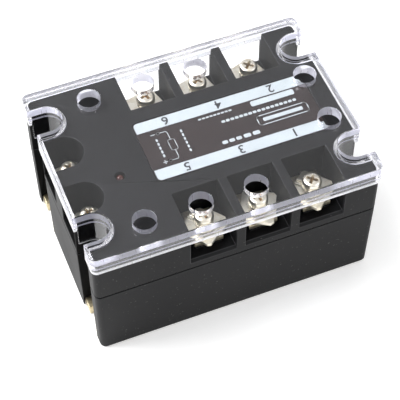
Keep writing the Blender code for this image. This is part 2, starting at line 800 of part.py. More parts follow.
def make_power_terminals():
    bar, clamp = power_bar_mesh(), clamp_mesh(POWER)
    washer, screw = washer_mesh(POWER), screw_mesh(POWER)
    for row, side in (("n", -1), ("f", 1)):
        for number, x in enumerate(POWER_XS, 1):
            key = f"{row}{number}"
            y = side * POWER_ROW_Y
            place(f"power_bar_{key}", bar, x, y, POWER.bar_z, 0 if side > 0 else 180)
            plate = place(f"power_clamp_{key}", clamp, x, y, POWER.clamp_z, CLAMP_TURNS[key])
            rise = POWER.washer_z - POWER.clamp_z
            seat_on_clamp(plate, f"power_washer_{key}", washer, rise, CLAMP_TURNS[key] + WASHER_LEAD)
            rise = POWER.head_z - POWER.clamp_z
            seat_on_clamp(plate, f"power_screw_{key}", screw, rise, SCREW_TURNS[key])


def make_control_terminals():
    bar, clamp = control_bar_mesh(), clamp_mesh(CONTROL)
    washer, screw = washer_mesh(CONTROL), screw_mesh(CONTROL)
    for number, side in ((1, -1), (2, 1)):
        y = side * CONTROL_Y
        place(f"control_bar_{number}", bar, CONTROL_X, y, CONTROL.bar_z)
        plate = place(f"control_clamp_{number}", clamp, CONTROL_X, y, CONTROL.clamp_z, CONTROL_CLAMP_TURN)
        rise = CONTROL.washer_z - CONTROL.clamp_z
        seat_on_clamp(plate, f"control_washer_{number}", washer, rise, CONTROL_WASHER_TURN)
        rise = CONTROL.head_z - CONTROL.clamp_z
        seat_on_clamp(plate, f"control_screw_{number}", screw, rise, CONTROL_SCREW_TURNS[number - 1])


# ---- Electronics

def board_posts():
    return [(x, side * BOARD_POST_Y) for x, side in zip(BOARD_POST_X, (1, -1))]


def make_control_board():
    start = WELL_INNER_X + UPPER_WALL + GAP
    y = ROOM_Y - 2 * GAP
    finish = material("circuit_board", (0.02, 0.16, 0.07), 0.45)
    outline = rectangle(start, BOARD_END_X, -y, y)
    board = add_mesh("control_board", prism(outline, BOARD_Z, BOARD_Z + BOARD_THICKNESS), finish)
    bore = BOARD_SCREW_RADIUS + GAP
    holes = [cylinder(p, bore, BOARD_Z - GAP, BOARD_Z + 2 * BOARD_THICKNESS) for p in board_posts()]
    return smooth(cut(board, merged(holes)))


def make_board_screws():
    profile = [
        (0, -BOARD_HEAD_HEIGHT),
        (BOARD_HEAD_RADIUS, -BOARD_HEAD_HEIGHT),
        (BOARD_HEAD_RADIUS, 0),
        (BOARD_SCREW_RADIUS, 0),
        (BOARD_SCREW_RADIUS, BOARD_SCREW_LENGTH),
        (0, BOARD_SCREW_LENGTH),
    ]
    mesh = take_mesh(smooth(add_mesh("screw", turned(profile, SMALL_STEPS), nickel())))
    for number, (x, y) in enumerate(board_posts(), 1):
        place(f"board_screw_{number}", mesh, x, y, BOARD_Z - GAP)


def make_optocouplers():
    long, wide, tall = OPTO_SIZE
    low = BOARD_Z + BOARD_THICKNESS + GAP
    for number, x in enumerate(POWER_XS, 1):
        body = box((x - long / 2, x + long / 2), (-wide / 2, wide / 2), (low, low + tall))
        add_mesh(f"optocoupler_{number}", body, material("component_black", (0.02, 0.02, 0.02), 0.4))


def make_led():
    """The indicator's epoxy body with its two leads down to the board."""
    board_top = BOARD_Z + BOARD_THICKNESS
    low = board_top + LED_STAND_OFF
    top = DECK_Z - GAP
    dome = top - LED_RADIUS
    profile = [(0, low), (LED_RADIUS, low), (LED_RADIUS, dome)]
    profile += [(x, dome + rise) for x, rise in arc((0, 0), LED_RADIUS, 0, 90, 3)[1:-1]]
    epoxy = material("led_epoxy", (0.22, 0.05, 0.04), 0.25)
    led = add_mesh("status_led", moved(turned(profile + [(0, top)]), LED_X, LED_Y), epoxy)
    half = LED_LEAD_HALF
    leads = []
    for side in (-1, 1):
        x = LED_X + side * LED_RADIUS / 2
        leads.append(box((x - half, x + half), (LED_Y - half, LED_Y + half), (board_top + GAP, low + GAP)))
    smooth(join(led, merged(leads)))


def make_power_stage():
    half_x, half_y = SUBSTRATE_HALF_X, SUBSTRATE_WIDTH / 2
    z_range = (SUBSTRATE_Z, SUBSTRATE_Z + SUBSTRATE_THICKNESS)
    ceramic = material("ceramic", (0.85, 0.84, 0.80), 0.5)
    silicon = material("silicon", (0.30, 0.31, 0.34), 0.3, 0.6)
    for number, x in enumerate(POWER_XS, 1):
        plate = box((x - half_x, x + half_x), (-half_y, half_y), z_range)
        add_mesh(f"substrate_{number}", plate, ceramic)
        for side, row in ((-1, "n"), (1, "f")):
            centre = side * CHIP_Y
            y_range = (centre - CHIP_SIZE[1] / 2, centre + CHIP_SIZE[1] / 2)
            x_range = (x - CHIP_SIZE[0] / 2, x + CHIP_SIZE[0] / 2)
            chip = box(x_range, y_range, (CHIP_Z, CHIP_Z + CHIP_SIZE[2]))
            add_mesh(f"thyristor_{row}{number}", chip, silicon)


def make_potting():
    """Resin over the power stage, open around the bar legs and the base screws' bosses."""
    finish = material("potting_resin", (0.03, 0.03, 0.035), 0.3)
    outline = cross_outline(LOWER_WALL + GAP)
    resin = add_mesh("potting_resin", prism(outline, POTTING_BOTTOM_Z, POTTING_TOP_Z), finish)
    low, high = POTTING_BOTTOM_Z - GAP, POTTING_TOP_Z + GAP
    half = POWER_BAR_HALF + GAP
    inner, outer = POWER_LEG_Y - GAP, POWER_LEG_Y + POWER.bar_thickness + GAP
    slots = both_rows(
        lambda x, side: box((x - half, x + half), span(side * inner, side * outer), (low, high))
    )
    cut(resin, merged(slots))
    bosses = [cylinder(p, BASE_BOSS_RADIUS + GAP, low, high) for p in base_screw_places()]
    return cut(resin, merged(bosses))


def main():
    for old in list(bpy.data.objects):
        bpy.data.objects.remove(old)
    make_base_plate()
    make_base_screws()
    make_lower_housing()
    make_upper_housing()
    make_label()
    make_clear_cover()
    make_power_terminals()
    make_control_terminals()
    make_control_board()
    make_board_screws()
    make_optocouplers()
    make_led()
    make_power_stage()
    make_potting()


main()
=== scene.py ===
"""Finished look of the three-phase solid state relay: case, clear cover, terminals, label and studio.

+X runs along the case, away from the control terminals. Sizes are in metres.
"""

import json
import math

import bmesh
import bpy
from mathutils import Euler, Matrix, Vector

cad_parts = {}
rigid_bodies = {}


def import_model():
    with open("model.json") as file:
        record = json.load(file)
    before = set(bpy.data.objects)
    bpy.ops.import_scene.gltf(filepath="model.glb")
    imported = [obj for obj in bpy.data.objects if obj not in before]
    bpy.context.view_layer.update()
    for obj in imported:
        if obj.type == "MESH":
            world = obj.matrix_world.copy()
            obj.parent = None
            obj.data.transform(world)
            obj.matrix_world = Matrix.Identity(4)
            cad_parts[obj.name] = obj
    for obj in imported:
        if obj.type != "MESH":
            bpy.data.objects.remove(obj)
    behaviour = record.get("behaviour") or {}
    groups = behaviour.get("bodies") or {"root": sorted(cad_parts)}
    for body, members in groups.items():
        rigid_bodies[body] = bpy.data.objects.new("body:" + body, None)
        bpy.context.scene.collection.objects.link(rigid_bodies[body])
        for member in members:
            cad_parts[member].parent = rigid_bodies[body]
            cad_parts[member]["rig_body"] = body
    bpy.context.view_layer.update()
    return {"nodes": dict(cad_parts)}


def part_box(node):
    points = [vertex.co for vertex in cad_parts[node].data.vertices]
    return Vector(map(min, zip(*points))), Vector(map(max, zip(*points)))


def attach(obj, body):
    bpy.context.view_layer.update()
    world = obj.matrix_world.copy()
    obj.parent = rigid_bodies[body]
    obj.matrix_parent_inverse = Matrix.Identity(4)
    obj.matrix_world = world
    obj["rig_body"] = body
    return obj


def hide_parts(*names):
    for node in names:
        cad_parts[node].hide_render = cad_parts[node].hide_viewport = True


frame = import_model()

# Case: how far its edges are rounded, and how far in from its sides and below its deck a recess starts,
# whose faces get painted shade
UPPER_EDGE = 0.00018
LOWER_EDGE = 0.00025
PLATE_EDGE = 0.0002
SHADE_INSET = 0.0012
SHADE_BELOW_DECK = 0.0008

# Clear cover. Bands and foot are depths below its top between which its sides are matt; the bands sit where
# the rim shows bright lines.
COVER_PLATE = 0.0042
COVER_RIM = 0.0082
COVER_WALL = 0.0013
COVER_CORNER = 0.0022
SKIRT_WALL = 0.0011
NOTCH_Y = 0.0247
NOTCH_HALF = 0.0057
NOTCH_END_X = 0.0416
COVER_HOLE_RADIUS = 0.0041
COVER_EDGE = 0.00022
COVER_BANDS = ((0.0005, 0.0034), (0.0048, 0.0056))
COVER_FOOT = 0.0066
SIDE_REACH = 0.0007
CLOSE = 0.0001
CORNER_STEPS = 8
NOTCH_STEPS = 28

# Terminals. The driver holes lie at the screws' places with X reversed, because the cover is fitted turned.
POWER_KEYS = [row + str(number) for row in "nf" for number in (1, 2, 3)]
CLAMP_TURNS = {"n1": 38.0, "n2": 332.0, "n3": 42.0, "f1": 196.0, "f2": 194.0, "f3": 200.0}
SCREW_TURNS = {"n1": 12.0, "n2": 5.0, "n3": 50.0, "f1": 20.0, "f2": 35.0, "f3": 48.0}
WASHER_LEAD = 200.0
CONTROL_CLAMP_TURN = 180.0
CONTROL_WASHER_TURN = 90.0
CONTROL_SCREW_TURNS = {"1": 25.0, "2": 50.0}
POWER_SIZES = {
    "shank": 0.0017, "pitch": 0.0007, "head": 0.0034, "tall": 0.0034, "long": 0.0100,
    "hole": 0.0023, "half": 0.0060, "reach": 0.0078, "plate": 0.0013, "rib": 0.0024, "rise": 0.0008,
}
CONTROL_SIZES = {
    "shank": 0.0014, "pitch": 0.0005, "head": 0.0030, "tall": 0.0026, "long": 0.0088,
    "hole": 0.0020, "half": 0.0041, "reach": 0.0054, "plate": 0.0010, "rib": 0.0010, "rise": 0.0006,
}
BAR_EDGE = 0.00015
RIB_SPREAD = 0.0008
RIB_WIDTH = 0.00056
THREAD_DEPTH = 0.00028
THREAD_RIDGE = 0.00026
THREAD_START = 0.0003
THREAD_RUN_OUT = 0.0008
SHANK_TIP = 0.0004
SMOOTH_STEPS = 48

# A pan head as shares of its radius and height, from the underside's edge to the crown
HEAD_UNDERSIDE = 0.97
HEAD_PROFILE = (
    (1.0, 0.10), (1.0, 0.60), (0.985, 0.70), (0.95, 0.80),
    (0.89, 0.88), (0.80, 0.935), (0.66, 0.972), (0.40, 0.995),
)

# The cross recess: its depth, and at its mouth and floor an arm's share of the head and its half width
RECESS_DEPTH = 0.0015
RECESS_MOUTH = (0.66, 0.00056)
RECESS_FLOOR = (0.34, 0.00030)
# How far out, as a share of the head, and how far below its crown the recess's painted brown shade reaches
RECESS_SHADE_REACH = (0.6, 0.0004)

# Spring washers: half the split's angle in degrees, the rise of one end, the play round it, and its facets
WASHER_SPLIT = 10
WASHER_RISE = 0.0003
WASHER_PLAY = 0.0003
WASHER_STEPS = 64

# Label
LABEL_CORNER = 0.0018
LABEL_BAR = 0.0046
LABEL_INSET = 0.0003
MARK_HEIGHT = 0.00004
DIGIT_SIZE = 0.0050
DIGIT_WEIGHT = 0.012
DIGIT_SHIFT = 0.001
FRAME_LINE = 0.00035
SYMBOL_LINE = 0.00028

# Indicator
LENS_RISE = 0.0012
LENS_STEPS = 10
LEAD_HALF = 0.00025
LEAD_OVERLAP = 0.0004

# Studio: each lamp's name, place and power, and the world's strength
LAMPS = (("key", (-0.55, 0.35, 0.85), 15.0), ("fill", (0.6, -0.5, 0.7), 3.6))
LAMP_SIZE = 0.7
WORLD_STRENGTH = 0.6
FLOOR_HALF = 1.5

# Camera
CAMERA_PLACE = (-0.11304, -0.28569, 0.43037)
CAMERA_TURN = (36.7064, 0.0107, -21.7200)
CAMERA_LENS = 126.37
CAMERA_SENSOR = 36.0
CAMERA_SHIFT = (-0.0023, -0.0087)


# ---- Mesh work


def mesh_of(shape):
    """A mesh from a bmesh, its doubles merged and its faces pointing out."""
    bmesh.ops.remove_doubles(shape, verts=shape.verts, dist=1e-7)
    bmesh.ops.recalc_face_normals(shape, faces=shape.faces)
    mesh = bpy.data.meshes.new("work")
    shape.to_mesh(mesh)
    shape.free()
    return mesh


def working(mesh):
    made = bpy.data.objects.new("work", mesh)
    bpy.context.scene.collection.objects.link(made)
    return made


def settled(made):
    """The evaluated mesh of a working object, which is then removed."""
    bpy.context.view_layer.update()
    graph = bpy.context.evaluated_depsgraph_get()
    mesh = bpy.data.meshes.new_from_object(made.evaluated_get(graph), depsgraph=graph)
    bpy.data.objects.remove(made)
    return mesh


def combined(mesh, tool, operation):
    body, other = working(mesh), working(tool)
    modifier = body.modifiers.new("combine", "BOOLEAN")
    modifier.object = other
    modifier.operation = operation
    modifier.solver = "EXACT"
    result = settled(body)
    bpy.data.objects.remove(other)
    return result


def cut(mesh, tool):
    return combined(mesh, tool, "DIFFERENCE")


def joined(mesh, tool):
    return combined(mesh, tool, "UNION")


def rounded(mesh, width, segments=2, angle=30.0, edge_slot=-1):
    """The mesh with its sharp edges rounded over and its flat faces shaded flat.

    The rounded edges can have a material slot of their own.
    """
    body = working(mesh)
    bevel = body.modifiers.new("round", "BEVEL")
    bevel.width = width
    bevel.segments = segments
    bevel.limit_method = "ANGLE"
    bevel.angle_limit = math.radians(angle)
    bevel.use_clamp_overlap = False
    bevel.miter_outer = "MITER_ARC"
    bevel.material = edge_slot
    mesh.shade_smooth()
    weighted = body.modifiers.new("even", "WEIGHTED_NORMAL")
    weighted.weight = 100
    weighted.keep_sharp = False
    return settled(body)


def smooth(mesh, angle=35.0):
    mesh.shade_smooth()
    mesh.set_sharp_from_angle(angle=math.radians(angle))
    return mesh


def placed(mesh, x, y, z, turn=0.0):
    """A copy of a mesh turned about Z, in degrees, and moved."""
    made = mesh.copy()
    made.transform(Matrix.Translation((x, y, z)) @ Matrix.Rotation(math.radians(turn), 4, "Z"))
    return made


def together(meshes):
    """One mesh that holds several."""
    whole = bmesh.new()
    for mesh in meshes:
        whole.from_mesh(mesh)
    made = bpy.data.meshes.new("work")
    whole.to_mesh(made)
    whole.free()
    return made


def copy_of(node):
    """A CAD node's mesh with its loose triangles merged into one surface."""
    shape = bmesh.new()
    shape.from_mesh(frame["nodes"][node].data)
    bmesh.ops.remove_doubles(shape, verts=shape.verts, dist=2e-6)
    return mesh_of(shape)


def prism(outline, low, high):
    return stack([(outline, low), (outline, high)])


def stack(sections):
    """A closed mesh through (outline, z) sections, all with the same number of points."""
    shape = bmesh.new()
    rings = [[shape.verts.new((x, y, z)) for x, y in outline] for outline, z in sections]
    for low, high in zip(rings, rings[1:]):
        for here in range(len(low)):
            there = (here + 1) % len(low)
            shape.faces.new((low[here], low[there], high[there], high[here]))
    shape.faces.new(list(reversed(rings[0])))
    shape.faces.new(rings[-1])
    return mesh_of(shape)


def arc(centre, radius, start, end, steps):
    angles = [math.radians(start + (end - start) * step / steps) for step in range(steps + 1)]
    return [(centre[0] + radius * math.cos(a), centre[1] + radius * math.sin(a)) for a in angles]


def circle(centre, radius, steps=SMOOTH_STEPS):
    return arc(centre, radius, 0, 360 * (steps - 1) / steps, steps - 1)


def rounded_rectangle(centre, half_x, half_y, radius, steps=8):
    points = []
    for quarter, (side_x, side_y) in enumerate([(1, 1), (-1, 1), (-1, -1), (1, -1)]):
        corner = (centre[0] + side_x * (half_x - radius), centre[1] + side_y * (half_y - radius))
        points += arc(corner, radius, 90 * quarter, 90 * quarter + 90, steps)
    return points


def block(x_range, y_range, z_range):
    low_x, high_x = sorted(x_range)
    low_y, high_y = sorted(y_range)
    return prism([(low_x, low_y), (high_x, low_y), (high_x, high_y), (low_x, high_y)], *z_range)


def turned(profile, steps=SMOOTH_STEPS):
    """A closed solid of revolution about Z from (radius, z) points running up from the axis."""
    shape = bmesh.new()
    bottom = shape.verts.new((0, 0, profile[0][1]))
    top = shape.verts.new((0, 0, profile[-1][1]))
    rings = []
    for radius, z in profile[1:-1]:
        rings.append([shape.verts.new((x, y, z)) for x, y in circle((0, 0), radius, steps)])
    for here in range(steps):
        there = (here + 1) % steps
        shape.faces.new((bottom, rings[0][there], rings[0][here]))
        shape.faces.new((top, rings[-1][here], rings[-1][there]))
        for low, high in zip(rings, rings[1:]):
            shape.faces.new((low[here], low[there], high[there], high[here]))
    return mesh_of(shape)


def finished(name, mesh, node, finishes, stands_for=True):
    """A piece that rides the body of a CAD node and, unless told otherwise, stands for that node."""
    made = bpy.data.objects.new(name, mesh)
    bpy.context.scene.collection.objects.link(made)
    if len(mesh.materials) != len(finishes):
        mesh.materials.clear()
        for finish in finishes:
            mesh.materials.append(finish)
    for place, finish in enumerate(finishes):
        mesh.materials[place] = finish
    if stands_for:
        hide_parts(node)
    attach(made, frame["nodes"][node]["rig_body"])
    return made


# ---- Shader work


class Value:
    """A shader socket that takes part in Python arithmetic by adding Math nodes."""

    def __init__(self, finish, socket):
        self.finish = finish
        self.socket = socket

    def maths(self, operation, *operands):
        inputs = dict(enumerate(operands))
        return self.finish.node("ShaderNodeMath", {"operation": operation}, inputs)

    def __add__(self, other):
        return self.maths("ADD", self, other)

    def __mul__(self, other):
        return self.maths("MULTIPLY", self, other)

    __radd__ = __add__
    __rmul__ = __mul__

    def above(self, level, softness):
        """0 below a level and 1 above it, with a soft step between."""
        inputs = {0: self, 1: level - softness, 2: level + softness}
        return self.finish.node("ShaderNodeMapRange", {"interpolation_type": "SMOOTHSTEP"}, inputs)


class Finish:
    """One material: the constants of its shader, and the nodes that vary it over a surface."""

    def __init__(self, name, colour, **constants):
        self.material = bpy.data.materials.new(name)
        self.material.use_nodes = True
        self.tree = self.material.node_tree
        self.shader = self.tree.nodes["Principled BSDF"]
        self.feed(self.shader.inputs["Base Color"], colour)
        for key, value in constants.items():
            socket = key.replace("_", " ").title().replace("Ior", "IOR")
            self.feed(self.shader.inputs[socket], value)
        self.place = self.node("ShaderNodeTexCoord", output="Object")

    def feed(self, socket, value):
        if isinstance(value, Value):
            self.tree.links.new(value.socket, socket)
        elif isinstance(value, tuple) and socket.type == "RGBA":
            socket.default_value = (*value, 1.0)[:4]
        else:
            socket.default_value = value

    def node(self, kind, settings=None, inputs=None, output=0):
        """Adds a node: its settings first, then its sockets' values or links. Returns one output."""
        made = self.tree.nodes.new(kind)
        for key, value in (settings or {}).items():
            setattr(made, key, value)
        for key, value in (inputs or {}).items():
            self.feed(made.inputs[key], value)
        return Value(self, made.outputs[output])

    def noise(self, size, detail=2.0, stretch=(1.0, 1.0, 1.0)):
        """Noise whose patches are about `size` across."""
        at = self.node("ShaderNodeMapping", {}, {"Vector": self.place, "Scale": stretch})
        inputs = {"Vector": at, "Scale": 1 / size, "Detail": detail}
        return self.node("ShaderNodeTexNoise", {}, inputs)

    def grain(self, size):
        """Small rounded cells, as of a spark-eroded mould."""
        return self.node("ShaderNodeTexVoronoi", {}, {"Vector": self.place, "Scale": 1 / size})

    def blend(self, share, first, second):
        settings = {"data_type": "RGBA"}
        return self.node("ShaderNodeMix", settings, {0: share, 6: first, 7: second}, 2)

    def attribute(self, name):
        return self.node("ShaderNodeAttribute", {"attribute_name": name}, output="Fac")

    def set(self, socket, value):
        self.feed(self.shader.inputs[socket], value)

    def bump(self, height, distance, strength=1.0):
        inputs = {"Height": height, "Distance": distance, "Strength": strength}
        self.set("Normal", self.node("ShaderNodeBump", {}, inputs))


def case_plastic():
    """Black moulded nylon: fine spark grain, faint flow clouds and a trace of dust."""
    made = Finish("case_plastic", (0.02, 0.02, 0.021), roughness=0.5, specular_ior_level=0.13)
    clouds = made.noise(0.02, 3)
    specks = made.noise(0.0009, 1).above(0.74, 0.03)
    base = made.blend(clouds, (0.006, 0.006, 0.0065), (0.011, 0.011, 0.012))
    made.set("Base Color", made.blend(specks * 0.3, base, (0.16, 0.15, 0.15)))
    made.set("Roughness", 0.42 + 0.16 * clouds)
    made.bump(made.grain(0.0014), 0.000003, 0.08)
    return made.material


def case_edge():
    """The same plastic along its rounded edges: lighter in colour, glossier and without the grain."""
    made = Finish("case_edge", (0.02, 0.02, 0.021), roughness=0.4, specular_ior_level=0.22)
    edge_tone = made.noise(0.0035, 3)
    made.set("Base Color", made.blend(edge_tone, (0.010, 0.010, 0.011), (0.026, 0.026, 0.028)))
    made.set("Roughness", 0.36 + 0.18 * edge_tone)
    return made.material


def case_recess():
    """The same plastic in the case's pockets, wells and channels: rougher, and darker in colour as painted
    shade.
    """
    made = Finish("case_recess", (0.004, 0.004, 0.0042), roughness=0.62, specular_ior_level=0.06)
    patch = made.noise(0.006, 3)
    made.set("Base Color", made.blend(patch, (0.0025, 0.0025, 0.0028), (0.006, 0.006, 0.0064)))
    made.set("Roughness", 0.55 + 0.15 * patch)
    return made.material


def clear_plastic():
    """Clear moulded polycarbonate with fine rubbing marks. It casts only a faint shadow."""
    made = Finish(
        "clear_plastic", (0.955, 0.96, 0.985), roughness=0.02, ior=1.49, transmission_weight=1.0
    )
    scuffs = made.noise(0.004, 4, (1.0, 0.2, 1.0)).above(0.66, 0.05)
    made.set("Roughness", 0.012 + 0.05 * scuffs)
    made.bump(made.noise(0.009, 1), 0.00002, 0.35)
    shadow = made.node("ShaderNodeLightPath", output="Is Shadow Ray")
    through = made.node("ShaderNodeBsdfTransparent", {}, {"Color": (0.93, 0.93, 0.95)}, "BSDF")
    shaded = made.shader.outputs["BSDF"]
    inputs = {0: shadow, 1: Value(made, shaded), 2: through}
    mixed = made.node("ShaderNodeMixShader", {}, inputs, "Shader")
    made.tree.links.new(mixed.socket, made.tree.nodes["Material Output"].inputs["Surface"])
    return made.material


def frosted(name, colour, roughness, through, painted_glow=0.0, alpha=1.0):
    """The cover's plastic where it is matt: it scatters light, lets some through and may carry a faint
    painted glow.
    """
    made = Finish(
        name, colour, roughness=roughness, ior=1.49, transmission_weight=through,
        emission_strength=painted_glow, alpha=alpha,
    )
    made.set("Emission Color", colour)
    streaks = made.noise(0.0005, 2, (1.0, 1.0, 0.08))
    dim = tuple(channel * 0.8 for channel in colour)
    made.set("Base Color", made.blend(streaks, dim, colour))
    made.set("Roughness", roughness - 0.08 + 0.16 * streaks)
    return made.material


def plated(name, bright, dull, roughness, recess_shade=None):
    """Nickel plate with rolling marks and small stains; in a screw's recess, a brown that is painted shade,
    partly the plating's yellow chromate tint.
    """
    made = Finish(name, bright, metallic=1.0, roughness=roughness)
    lines = made.noise(0.0006, 2, (1.0, 0.12, 1.0))
    stains = made.noise(0.0025, 3).above(0.56, 0.1)
    colour = made.blend(stains * 0.55, bright, dull)
    if recess_shade:
        colour = made.blend(made.attribute("recess_shade"), colour, recess_shade)
    made.set("Base Color", colour)
    made.set("Roughness", roughness - 0.06 + 0.12 * lines + 0.1 * stains)
    made.bump(lines, 0.000006, 0.5)
    return made.material


def label_film():
    """Dark brown printed film with a satin laminate."""
    made = Finish(
        "label_film", (0.028, 0.018, 0.02), roughness=0.3, coat_weight=0.1, coat_roughness=0.15
    )
    weave = made.noise(0.0007, 3)
    made.set("Base Color", made.blend(weave, (0.012, 0.0065, 0.0065), (0.019, 0.0115, 0.011)))
    made.set("Roughness", 0.24 + 0.14 * weave)
    made.bump(made.noise(0.0012, 2), 0.000008, 0.4)
    return made.material


def label_ink(name, colour, shade):
    """Screen-printed ink, slightly uneven in cover."""
    made = Finish(name, colour, roughness=0.4)
    patch = made.noise(0.0008, 4)
    made.set("Base Color", made.blend(patch * 0.5, colour, shade))
    made.set("Roughness", 0.34 + 0.16 * patch)
    return made.material


def led_epoxy():
    """Red-brown tinted epoxy of an unlit indicator."""
    made = Finish(
        "led_epoxy", (0.06, 0.018, 0.015), roughness=0.2, coat_weight=0.2, subsurface_weight=0.1
    )
    made.shader.inputs["Subsurface Scale"].default_value = 0.0006
    haze = made.noise(0.0008, 2)
    made.set("Base Color", made.blend(haze, (0.04, 0.010, 0.008), (0.07, 0.018, 0.014)))
    made.set("Roughness", 0.1 + 0.1 * haze)
    return made.material


def circuit_board():
    """Green solder mask over woven glass, with copper tracks showing faintly under it."""
    made = Finish("circuit_board", (0.02, 0.12, 0.05), roughness=0.35, coat_weight=0.3)
    wave = {"Vector": made.place, "Scale": 260.0, "Distortion": 3.0}
    tracks = made.node("ShaderNodeTexWave", {}, wave).above(0.62, 0.05)
    weave = made.grain(0.0005)
    made.set("Base Color", made.blend(tracks, (0.012, 0.09, 0.035), (0.03, 0.19, 0.08)))
    made.set("Roughness", 0.28 + 0.12 * weave)
    made.bump(tracks, 0.00002, 0.6)
    return made.material


def mottled(name, first, second, roughness, size, metallic=0.0):
    """A cast, fired or sawn surface with patches of two tones."""
    made = Finish(name, first, roughness=roughness, metallic=metallic)
    patch = made.noise(size, 4)
    made.set("Base Color", made.blend(patch, first, second))
    made.set("Roughness", roughness - 0.06 + 0.14 * patch)
    made.bump(patch, 0.00001, 0.5)
    return made.material


def floor_paper():
    """Seamless white paper under the object."""
    made = Finish("floor_paper", (0.9, 0.9, 0.9), roughness=0.75, emission_strength=0.26)
    made.set("Emission Color", (1.0, 1.0, 1.0))
    tooth = made.noise(0.004, 2)
    made.set("Base Color", made.blend(tooth, (0.885, 0.885, 0.885), (0.915, 0.915, 0.915)))
    return made.material


CASE = case_plastic()
# Darker plastic for the case's pockets, wells and channels: painted shade
CASE_EDGE = case_edge()
CASE_RECESS_SHADE = case_recess()
CLEAR = clear_plastic()
# The cut edges and hole walls glow faintly in a lilac-white tint: painted light, for the light the plate
# pipes and reflects along its cuts
CUT_EDGE = frosted("cover_cut_edge", (0.80, 0.80, 0.95), 0.3, 0.8, painted_glow=0.1)
FOOT = frosted("cover_foot", (0.93, 0.93, 0.96), 0.3, 0.5)
HOLE_WALL = frosted("cover_hole_wall", (0.80, 0.80, 0.95), 0.3, 0.6, painted_glow=0.1, alpha=0.45)
CLAMP = plated("clamp_nickel", (0.90, 0.86, 0.74), (0.70, 0.62, 0.46), 0.3)
# The screws' recess colour is painted shade, partly the chromate tint
SCREW = plated(
    "screw_nickel", (0.92, 0.87, 0.74), (0.74, 0.65, 0.48), 0.3, recess_shade=(0.26, 0.17, 0.07)
)
# Steel washers, darkened as painted shade under the screw heads
WASHER_SHADED = plated("washer_steel", (0.20, 0.18, 0.15), (0.12, 0.10, 0.08), 0.34)
BAR = plated("bar_nickel", (0.66, 0.60, 0.46), (0.52, 0.44, 0.30), 0.32)
BASE = plated("base_metal", (0.62, 0.54, 0.36), (0.50, 0.41, 0.24), 0.36)
INNER_SCREW = plated("inner_screw_steel", (0.56, 0.56, 0.55), (0.40, 0.38, 0.34), 0.34)
FILM = label_film()
WHITE_INK = label_ink("white_ink", (0.37, 0.41, 0.42), (0.34, 0.375, 0.385))
BLACK_INK = label_ink("black_ink", (0.012, 0.012, 0.015), (0.03, 0.03, 0.035))
CASE_FINISHES = [CASE, CASE_EDGE, CASE_RECESS_SHADE]
COVER_FINISHES = [CLEAR, CUT_EDGE, FOOT, HOLE_WALL]


# ---- Repeats and paths: Geometry Nodes


class Repeat:
    """A Geometry Nodes tree with named size inputs, which ends in Realize Instances and Set Material."""

    def __init__(self, name, sizes):
        self.tree = bpy.data.node_groups.new(name, "GeometryNodeTree")
        sockets = self.tree.interface
        sockets.new_socket("Geometry", in_out="INPUT", socket_type="NodeSocketGeometry")
        self.ids = {}
        for key, value in sizes.items():
            kinds = {int: "NodeSocketInt", float: "NodeSocketFloat", tuple: "NodeSocketVector"}
            made = sockets.new_socket(key, in_out="INPUT", socket_type=kinds[type(value)])
            self.ids[key] = made.identifier
        sockets.new_socket("Geometry", in_out="OUTPUT", socket_type="NodeSocketGeometry")
        self.start = self.tree.nodes.new("NodeGroupInput")
        self.end = self.tree.nodes.new("NodeGroupOutput")
        self.defaults = sizes

    def node(self, kind, settings=None, inputs=None, output=0):
        made = self.tree.nodes.new(kind)
        for key, value in (settings or {}).items():
            setattr(made, key, value)
        for key, value in (inputs or {}).items():
            sources = value if isinstance(value, list) else [value]
            for source in sources:
                if isinstance(source, bpy.types.NodeSocket):
                    self.tree.links.new(source, made.inputs[key])
                else:
                    made.inputs[key].default_value = source
        return made.outputs[output]

    def size(self, key):
        return self.start.outputs[key]

    def close(self, geometry):
        real = self.node("GeometryNodeRealizeInstances", {}, {"Geometry": geometry})
        painted = self.node("GeometryNodeSetMaterial", {}, {"Geometry": real})
        self.paint = painted.node
        self.tree.links.new(painted, self.end.inputs[0])

    def applied(self, mesh, material, **sizes):
        """The plain mesh that the tree makes of a mesh."""
        self.paint.inputs["Material"].default_value = material
        body = working(mesh)
        modifier = body.modifiers.new("repeat", "NODES")
        modifier.node_group = self.tree
        for key, value in {**self.defaults, **sizes}.items():
            modifier[self.ids[key]] = value
        return settled(body)


def thread_tree():
    """Adds a helical thread ridge to a screw's shank."""
    made = Repeat("screw_thread", {
        "Turns": 8.0, "Radius": 0.0015, "Length": 0.006, "Ridge": 0.0003, "Bottom": -0.009,
    })
    spiral = made.node("GeometryNodeCurveSpiral", {}, {
        "Resolution": 20,
        "Rotations": made.size("Turns"),
        "Start Radius": made.size("Radius"),
        "End Radius": made.size("Radius"),
        "Height": made.size("Length"),
    })
    ridge = made.node("GeometryNodeCurvePrimitiveCircle", {}, {
        "Resolution": 4, "Radius": made.size("Ridge"),
    })
    swept = made.node("GeometryNodeCurveToMesh", {}, {
        "Curve": spiral, "Profile Curve": ridge, "Fill Caps": True,
    })
    lift = made.node("ShaderNodeCombineXYZ", {}, {"Z": made.size("Bottom")})
    moved = made.node("GeometryNodeTransform", {}, {"Geometry": swept, "Translation": lift})
    both = made.node("GeometryNodeJoinGeometry", {}, {
        "Geometry": [made.start.outputs["Geometry"], moved],
    })
    made.close(both)
    return made


def row_tree():
    """Repeats one shape along a straight line."""
    made = Repeat("row_of_shapes", {"Count": 2, "Start": (0.0, 0.0, 0.0), "Step": (0.001, 0.0, 0.0)})
    line = made.node("GeometryNodeMeshLine", {"mode": "OFFSET"}, {
        "Count": made.size("Count"),
        "Start Location": made.size("Start"),
        "Offset": made.size("Step"),
    })
    shapes = made.node("GeometryNodeInstanceOnPoints", {}, {
        "Points": line, "Instance": made.start.outputs["Geometry"],
    })
    made.close(shapes)
    return made


THREAD = thread_tree()
ROW = row_tree()


# ---- Case


